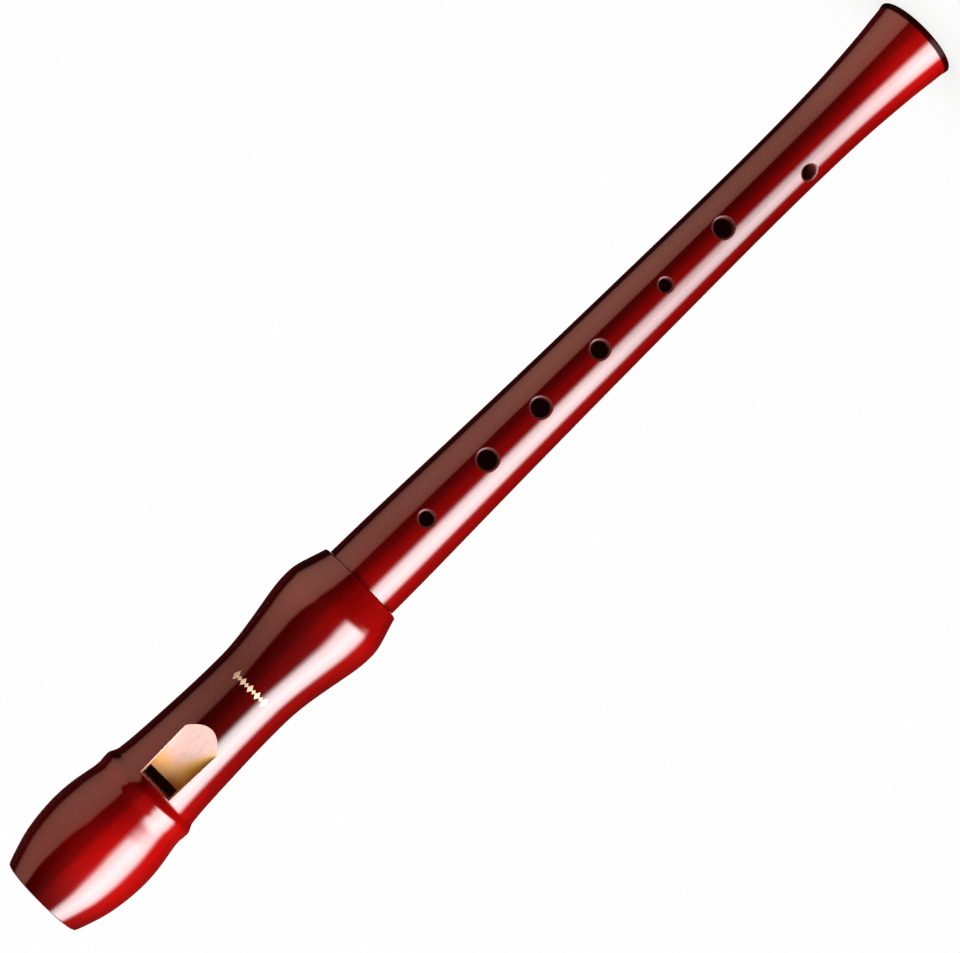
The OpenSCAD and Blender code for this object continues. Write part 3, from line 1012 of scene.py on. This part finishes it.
# ---------------------------------------------------------------- other materials
def hole_lip():
    """Edge of a finger hole, where the lacquer is thin and rubbed dull."""
    mat = new_material("hole_lip")
    grain = mat.noise(mat.coords(), scale=1800, detail=4, rough=0.6)
    base = mat.ramp(grain, [(0.3, (0.075, 0.010, 0.010)), (0.7, (0.130, 0.026, 0.026))])
    return mat.surface(base, rough=0.33, Specular_IOR_Level=0.5,
                       Normal=mat.bump(grain, distance=0.00003, strength=0.4))


def raw_wood():
    """Bare pale wood cut across the window, with painted orange shade down by the edge."""
    mat = new_material("bare_wood")
    x, y, _ = mat.xyz(mat.place())
    grain = mat.noise(mat.coords(z=0.05), scale=1500, detail=6, rough=0.65, distort=0.4)
    pores = mat.noise(mat.coords(z=0.03), scale=5200, detail=3, rough=0.6)
    wide = mat.noise(mat.coords(z=0.12), scale=260, detail=3, rough=0.5)
    base = mat.ramp(grain, [(0.3, (0.66, 0.415, 0.365)), (0.5, (0.755, 0.50, 0.452)),
                            (0.72, (0.80, 0.555, 0.51))])
    base = mat.mix(mat.mul(wide, 0.3), base, (0.76, 0.47, 0.39))
    dark_pores = mat.mul(mat.math("GREATER_THAN", pores, 0.62), 0.22)
    base = mat.mix(dark_pores, base, (0.50, 0.27, 0.18))

    # painted orange shade where the cut lies near the bore (mm), reaching further out towards -X
    depth = mat.mul(y, -1000.0)
    toward = mat.math("MAXIMUM", mat.mul(x, -1000.0), 0.0)
    out = mat.sub(mat.sub(depth, 6.9), mat.mul(toward, 0.53))
    out = mat.add(out, mat.mul(mat.sub(wide, 0.5), 0.6))
    # the ramp spans -3 to 3 mm
    orange_shade = mat.ramp(mat.math("DIVIDE", mat.add(out, 3.0), 6.0),
                     [(0.5, 1.0), (0.7, 1.0), (0.82, 0.45), (0.95, 0.0)])
    orange_shade_color = mat.mix(wide, (0.76, 0.40, 0.135), (0.86, 0.47, 0.19))
    # the deepest painted shade lies beside the -X wall, which shades the ramp
    deep_wall_shade = mat.math("MINIMUM", mat.mul(mat.above(toward, floor=1.2), 0.4), 1.0)
    orange_shade_color = mat.mix(deep_wall_shade, orange_shade_color, (0.88, 0.46, 0.075))
    base = mat.mix(mat.mul(orange_shade, 0.95), base, orange_shade_color)

    # faces that look down are dark red
    normal = mat.node("ShaderNodeNewGeometry").outputs["True Normal"]
    down = mat.math("LESS_THAN", mat.xyz(normal)[2], -0.5)
    base = mat.mix(down, base, (0.42, 0.12, 0.10))
    height = mat.weigh(grain, 0.7, pores, 0.3)
    return mat.surface(base, rough=0.55, Specular_IOR_Level=0.3,
                       Normal=mat.bump(height, distance=0.00004, strength=0.5))


def inner_wood():
    """Oiled bore and hole walls: dark red-brown, with a faint painted red glow."""
    mat = new_material("bore_wood")
    grain = mat.noise(mat.coords(z=0.05), scale=1300, detail=4, rough=0.6)
    base = mat.ramp(grain, [(0.3, (0.060, 0.014, 0.010)), (0.7, (0.13, 0.032, 0.022))])
    # the faint emission is a painted glow that lightens the bore
    return mat.surface(base, rough=0.5, Specular_IOR_Level=0.3,
                       Normal=mat.bump(grain, distance=0.00003, strength=0.5),
                       Emission_Color=(0.0040, 0.0008, 0.0006), Emission_Strength=1.0)


def cedar_wood():
    mat = new_material("cedar")
    rings = mat.noise(mat.coords(y=0.35, z=0.04), scale=700, detail=4, rough=0.6, distort=0.6)
    fine = mat.noise(mat.coords(z=0.03), scale=4200, detail=4, rough=0.6)
    base = mat.ramp(rings, [(0.3, (0.55, 0.30, 0.17)), (0.5, (0.74, 0.46, 0.28)),
                            (0.7, (0.82, 0.56, 0.37))])
    base = mat.mix(mat.mul(fine, 0.35), base, (0.58, 0.32, 0.18))
    height = mat.weigh(rings, 0.5, fine, 0.5)
    return mat.surface(base, rough=0.6, Specular_IOR_Level=0.3,
                       Normal=mat.bump(height, distance=0.00005, strength=0.6))


def cork():
    """Speckled cork with dark pits and pale cells."""
    mat = new_material("cork")
    vector = mat.coords()
    cells = mat.fill(mat.node("ShaderNodeTexVoronoi"), Scale=900, Vector=vector)
    speck = mat.noise(vector, scale=700, detail=5, rough=0.7)
    pits = mat.noise(vector, scale=1800, detail=4, rough=0.7)

    def pitted(share):
        return mat.mul(mat.math("GREATER_THAN", pits, 0.60), share)

    base = mat.ramp(speck, [(0.3, (0.32, 0.18, 0.08)), (0.5, (0.58, 0.38, 0.20)),
                            (0.72, (0.72, 0.50, 0.30))])
    base = mat.mix(pitted(share=0.7), base, (0.17, 0.08, 0.035))
    base = mat.mix(mat.mul(cells.outputs["Distance"], 0.35), base, (0.76, 0.56, 0.36))
    height = mat.sub(mat.mul(speck, 0.5), pitted(share=0.5))
    return mat.surface(base, rough=0.85, Specular_IOR_Level=0.2,
                       Normal=mat.bump(height, distance=0.00012, strength=0.8))


def gilt():
    mat = new_material("gilt")
    speck = mat.noise(mat.coords(), scale=2600, detail=3, rough=0.6)
    base = mat.ramp(speck, [(0.3, (0.92, 0.66, 0.42)), (0.7, (1.0, 0.80, 0.56))])
    return mat.surface(base, rough=0.6, Metallic=0.12, Specular_IOR_Level=0.5,
                       Normal=mat.bump(speck, distance=0.00002, strength=0.4))


# ---------------------------------------------------------------- the instrument
MAT_LACQUER = lacquer()
MAT_RAW = raw_wood()
MAT_BORE = inner_wood()
MAT_CEDAR = cedar_wood()
MAT_CORK = cork()
MAT_GILT = gilt()
MAT_LIP = hole_lip()

body = build_body([MAT_LACQUER, MAT_BORE, MAT_LIP])
head = build_head([MAT_LACQUER, MAT_RAW, MAT_BORE])
block = build_block([MAT_CEDAR])
cork_ring = build_cork([MAT_CORK])
ornament = build_gilt([MAT_GILT])

for ob, rides, node_name, slot_name in (
        (body, "body", "body_joint", "lacquered_wood"),
        (head, "head", "head_joint", "lacquered_wood"),
        (block, "fipple_block", "block", "cedar"),
        (cork_ring, "tenon_ring", "tenon_cork", "cork")):
    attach(ob, rides)
    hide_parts(node_name)
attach(ornament, "head")

for node_name, material in (("body_joint", MAT_LACQUER), ("head_joint", MAT_LACQUER),
                            ("block", MAT_CEDAR), ("tenon_cork", MAT_CORK)):
    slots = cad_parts[node_name].data.materials
    slots.clear()
    slots.append(material)

# ---------------------------------------------------------------- floor
BACKDROP = (0.990, 0.991, 0.989)
FLOOR_RADII = [0.01, 0.014, 0.02, 0.03, 0.045, 0.065, 0.09, 0.13]
FLOOR_Z = -0.00002
FLOOR_COLS = 96


def floor_material():
    """A pale glow with a painted contact shadow, greyer near the bell, that fades out towards
    the edge.
    """
    mat = new_material("pale_floor")
    radius = mat.vector("LENGTH", mat.place())
    # painted contact shadow: grey under and round the bell, lightening outwards
    color = mat.ramp(mat.math("DIVIDE", radius, FLOOR_RADII[-1]), [
        (0.09, (0.86, 0.86, 0.85)), (0.13, (0.93, 0.93, 0.92)), (0.30, (0.975, 0.977, 0.972)),
        (0.9, BACKDROP)])
    glow = mat.shader("ShaderNodeEmission", Color=color)
    clear = mat.shader("ShaderNodeBsdfTransparent")
    fade = mat.fill(mat.node("ShaderNodeMapRange"), From_Min=0.08, From_Max=0.128, Value=radius)
    return mat.output(mat.mix_shader(fade.outputs[0], glow, clear))


def build_floor():
    bm = bmesh.new()
    centre = bm.verts.new((0, 0, FLOOR_Z))
    angles = [2 * math.pi * k / FLOOR_COLS for k in range(FLOOR_COLS)]
    inner = None
    for radius in FLOOR_RADII:
        ring = [bm.verts.new((radius * math.cos(a), radius * math.sin(a), FLOOR_Z))
                for a in angles]
        for k in range(FLOOR_COLS):
            following = (k + 1) % FLOOR_COLS
            if inner is None:
                bm.faces.new((centre, ring[k], ring[following]))
            else:
                bm.faces.new((inner[k], ring[k], ring[following], inner[following]))
        inner = ring
    mesh = bpy.data.meshes.new("floor")
    bm.to_mesh(mesh)
    bm.free()
    ob = link_object("floor", mesh)
    mesh.materials.append(floor_material())
    ob.visible_diffuse = ob.visible_glossy = False
    ob.visible_shadow = ob.visible_transmission = False


build_floor()


# ---------------------------------------------------------------- studio light
def key_light(sky, azimuth, elevation):
    """A tall oval soft box on the -X side, brightest in the middle (all in degrees)."""
    # its middle moves round as it rises, and it narrows like an ellipse above 18 degrees
    centre = sky.add(sky.mul(sky.above(elevation, floor=5.0), 0.3), 59.8)
    rise = sky.math("DIVIDE", sky.above(elevation, floor=18.0), 52.0)
    narrow = sky.math("SQRT", sky.math("MAXIMUM", sky.sub(1.0, sky.mul(rise, rise)), 0.05))
    half_width = sky.mul(narrow, 28.2)
    # 0 in the middle, 1 at the edge
    off = sky.math("DIVIDE", sky.math("ABSOLUTE", sky.sub(azimuth, centre)), half_width)
    edge = sky.ease(sky.mul(off, -1.0), start=-1.25, end=-0.65)
    dome = sky.dim(sky.math("MINIMUM", off, 1.3), share=0.4)
    # the slanting lower end fades out, the upper part dims and then ends
    low = sky.add(elevation, sky.mul(sky.sub(azimuth, 60.0), 0.08))
    upper = sky.dim(sky.ease(elevation, start=20.0, end=60.0), share=0.3)
    fade = sky.mul(sky.ease(low, start=-23.0, end=-9.0), upper)
    fade = sky.mul(fade, sky.ease(sky.mul(elevation, -1.0), start=-85.0, end=-60.0))
    return sky.mul(sky.mul(edge, dome), fade)


def build_world():
    """Soft boxes painted on the surroundings by azimuth and elevation."""
    world = bpy.data.worlds.new("studio")
    bpy.context.scene.world = world
    sky = Nodes(world)
    # Incoming points back along the ray, so the ray's direction is its negative
    incoming = sky.node("ShaderNodeNewGeometry").outputs["Incoming"]
    x, y, z = [sky.mul(part, -1.0) for part in sky.xyz(incoming)]
    azimuth = sky.azimuth(x, y)
    elevation = sky.elevation(z)

    def band(value, low, high, soft):
        return sky.mul(sky.ease(value, low - soft, low + soft),
                       sky.ease(sky.mul(value, -1.0), -high - soft, -high + soft))

    def tint(share, color, strength):
        return sky.vector("SCALE", tuple(part * strength for part in color), Scale=share)

    def back_box(low, high):
        share = sky.mul(band(azimuth, low, high, soft=4),
                        band(elevation, low=-30, high=60, soft=10))
        return tint(share, color=(1.0, 0.97, 0.94), strength=2.2)

    key = tint(key_light(sky, azimuth, elevation), color=(0.98, 1.0, 1.01), strength=9.6)
    # one box straight behind, in two parts where the azimuth wraps round
    back = sky.vector("ADD", back_box(168, 182), back_box(-182, -168))
    ambient = tint(sky.ease(z, start=-1.2, end=1.2), color=(1.0, 0.98, 0.96), strength=0.03)
    total = sky.vector("ADD", sky.vector("ADD", key, back), ambient)

    light = sky.shader("ShaderNodeBackground", Color=total)
    white = sky.shader("ShaderNodeBackground", Color=BACKDROP)
    camera_ray = sky.node("ShaderNodeLightPath").outputs["Is Camera Ray"]
    sky.output(sky.mix_shader(camera_ray, light, white), "ShaderNodeOutputWorld")


build_world()


def bearing(azimuth, elevation=0):
    """Unit vector towards an azimuth and elevation in degrees."""
    turn, lift = math.radians(azimuth), math.radians(elevation)
    return Vector((-math.sin(turn) * math.cos(lift), -math.cos(turn) * math.cos(lift),
                   math.sin(lift)))


def build_panel(name, centre, side, up, material, hidden_from):
    """A glowing rectangle; side and up reach from its centre to its edges."""
    mesh = bpy.data.meshes.new(name)
    mesh.from_pydata([tuple(centre + side * across + up * rise)
                      for across, rise in ((-1, -1), (1, -1), (1, 1), (-1, 1))],
                     [], [(0, 1, 2, 3)])
    ob = link_object(name, mesh)
    mesh.materials.append(material)
    for ray in ("camera", "transmission", "shadow", hidden_from):
        setattr(ob, "visible_" + ray, False)


def card_material():
    """Red-brown glow inside a soft-edged field, by azimuth and elevation in degrees."""
    mat = new_material("card_glow")
    position = mat.node("ShaderNodeNewGeometry").outputs["Position"]
    x, y, z = mat.xyz(mat.vector("NORMALIZE", position))
    azimuth = mat.azimuth(x, y)
    elevation = mat.elevation(z)
    # the near edge leans away as it rises; the far edge shifts below the horizon
    near = mat.add(azimuth, mat.mul(mat.math("MAXIMUM", elevation, 0.0), 0.56))
    far = mat.add(azimuth, mat.mul(mat.ease(elevation, start=0.0, end=-6.0), 4.5))
    field = mat.mul(mat.ease(near, start=-34.5, end=-41.5),
                    mat.ease(far, start=-120.0, end=-108.0))
    field = mat.mul(field, mat.between(elevation, rise=(-68.0, -50.0), fall=(76.0, 60.0)))
    # strength 0.65 at azimuth -73, falling off to either side
    off = mat.add(azimuth, 73.0)
    fall = mat.sub(0.65, mat.mul(mat.mul(off, off), 0.00016))
    return mat.output(mat.shader("ShaderNodeEmission", Color=(2.58, 1.0, 0.74),
                                 Strength=mat.mul(field, fall)))


def build_card():
    """A dull red-brown reflector card on the +X side, seen only in reflections."""
    out = bearing(azimuth=-78)
    distance, half_width, half_height = 10.0, 11.0, 32.0
    build_panel("reflector_card", out * distance, Vector((-out.y, out.x, 0)) * half_width,
                Vector((0, 0, half_height)), card_material(), hidden_from="diffuse")


def build_fill(name, azimuth, elevation, strength):
    """A weak panel that lights the bare wood and the stain but makes no highlight."""
    out = bearing(azimuth, elevation)
    distance, half_width, half_height = 3.0, 0.8, 0.7
    middle = Vector((0, 0, 0.165))      # about half way up the instrument
    side = out.cross(Vector((0, 0, 1))).normalized()
    up = side.cross(out).normalized()
    mat = new_material(name + "_glow")
    glow = mat.shader("ShaderNodeEmission", Color=(1.0, 0.98, 0.95), Strength=strength)
    build_panel(name, out * distance + middle, side * half_width, up * half_height,
                mat.output(glow), hidden_from="glossy")


build_card()
build_fill("front_fill", azimuth=18, elevation=38, strength=4.2)
build_fill("back_fill", azimuth=-150, elevation=20, strength=9.0)


# ---------------------------------------------------------------- camera
def build_camera():
    """Looks at the -Y side from slightly above, rolled so the instrument lies diagonally."""
    distance = 0.825
    lift = math.radians(4.9)
    roll_along, roll_side = 0.71246, 0.70173      # the roll, as shares of two axes
    # direction of the target in the view: tangents to the right and up
    aim_right, aim_up = 0.001918075, 0.0053316

    data = bpy.data.cameras.new("camera")
    camera = link_object("camera", data)
    data.sensor_fit = "HORIZONTAL"
    data.sensor_width = 36
    data.lens = 115.35
    data.clip_start, data.clip_end = 0.01, 20

    target = Vector((0, 0, (CAD_BOX[0].z + CAD_BOX[1].z) / 2))
    camera.location = target + distance * Vector((0, -math.cos(lift), math.sin(lift)))
    along = Vector((0, math.sin(lift), math.cos(lift)))
    side = Vector((1, 0, 0))
    right = (-roll_along * along - roll_side * side).normalized()
    up = -roll_side * along + roll_along * side
    back = right.cross(up).normalized()
    up = back.cross(right)
    base = Matrix((right, up, back)).transposed()
    aim = Vector((aim_right, aim_up, -1)).normalized()
    turn = aim.rotation_difference(Vector((0, 0, -1))).to_matrix()
    camera.rotation_mode = "QUATERNION"
    camera.rotation_quaternion = (base @ turn).to_quaternion()
    bpy.context.scene.camera = camera


build_camera()

view = bpy.context.scene.view_settings
view.view_transform = "Standard"
view.look = "None"
view.exposure = 0
view.gamma = 1

bpy.context.view_layer.update()
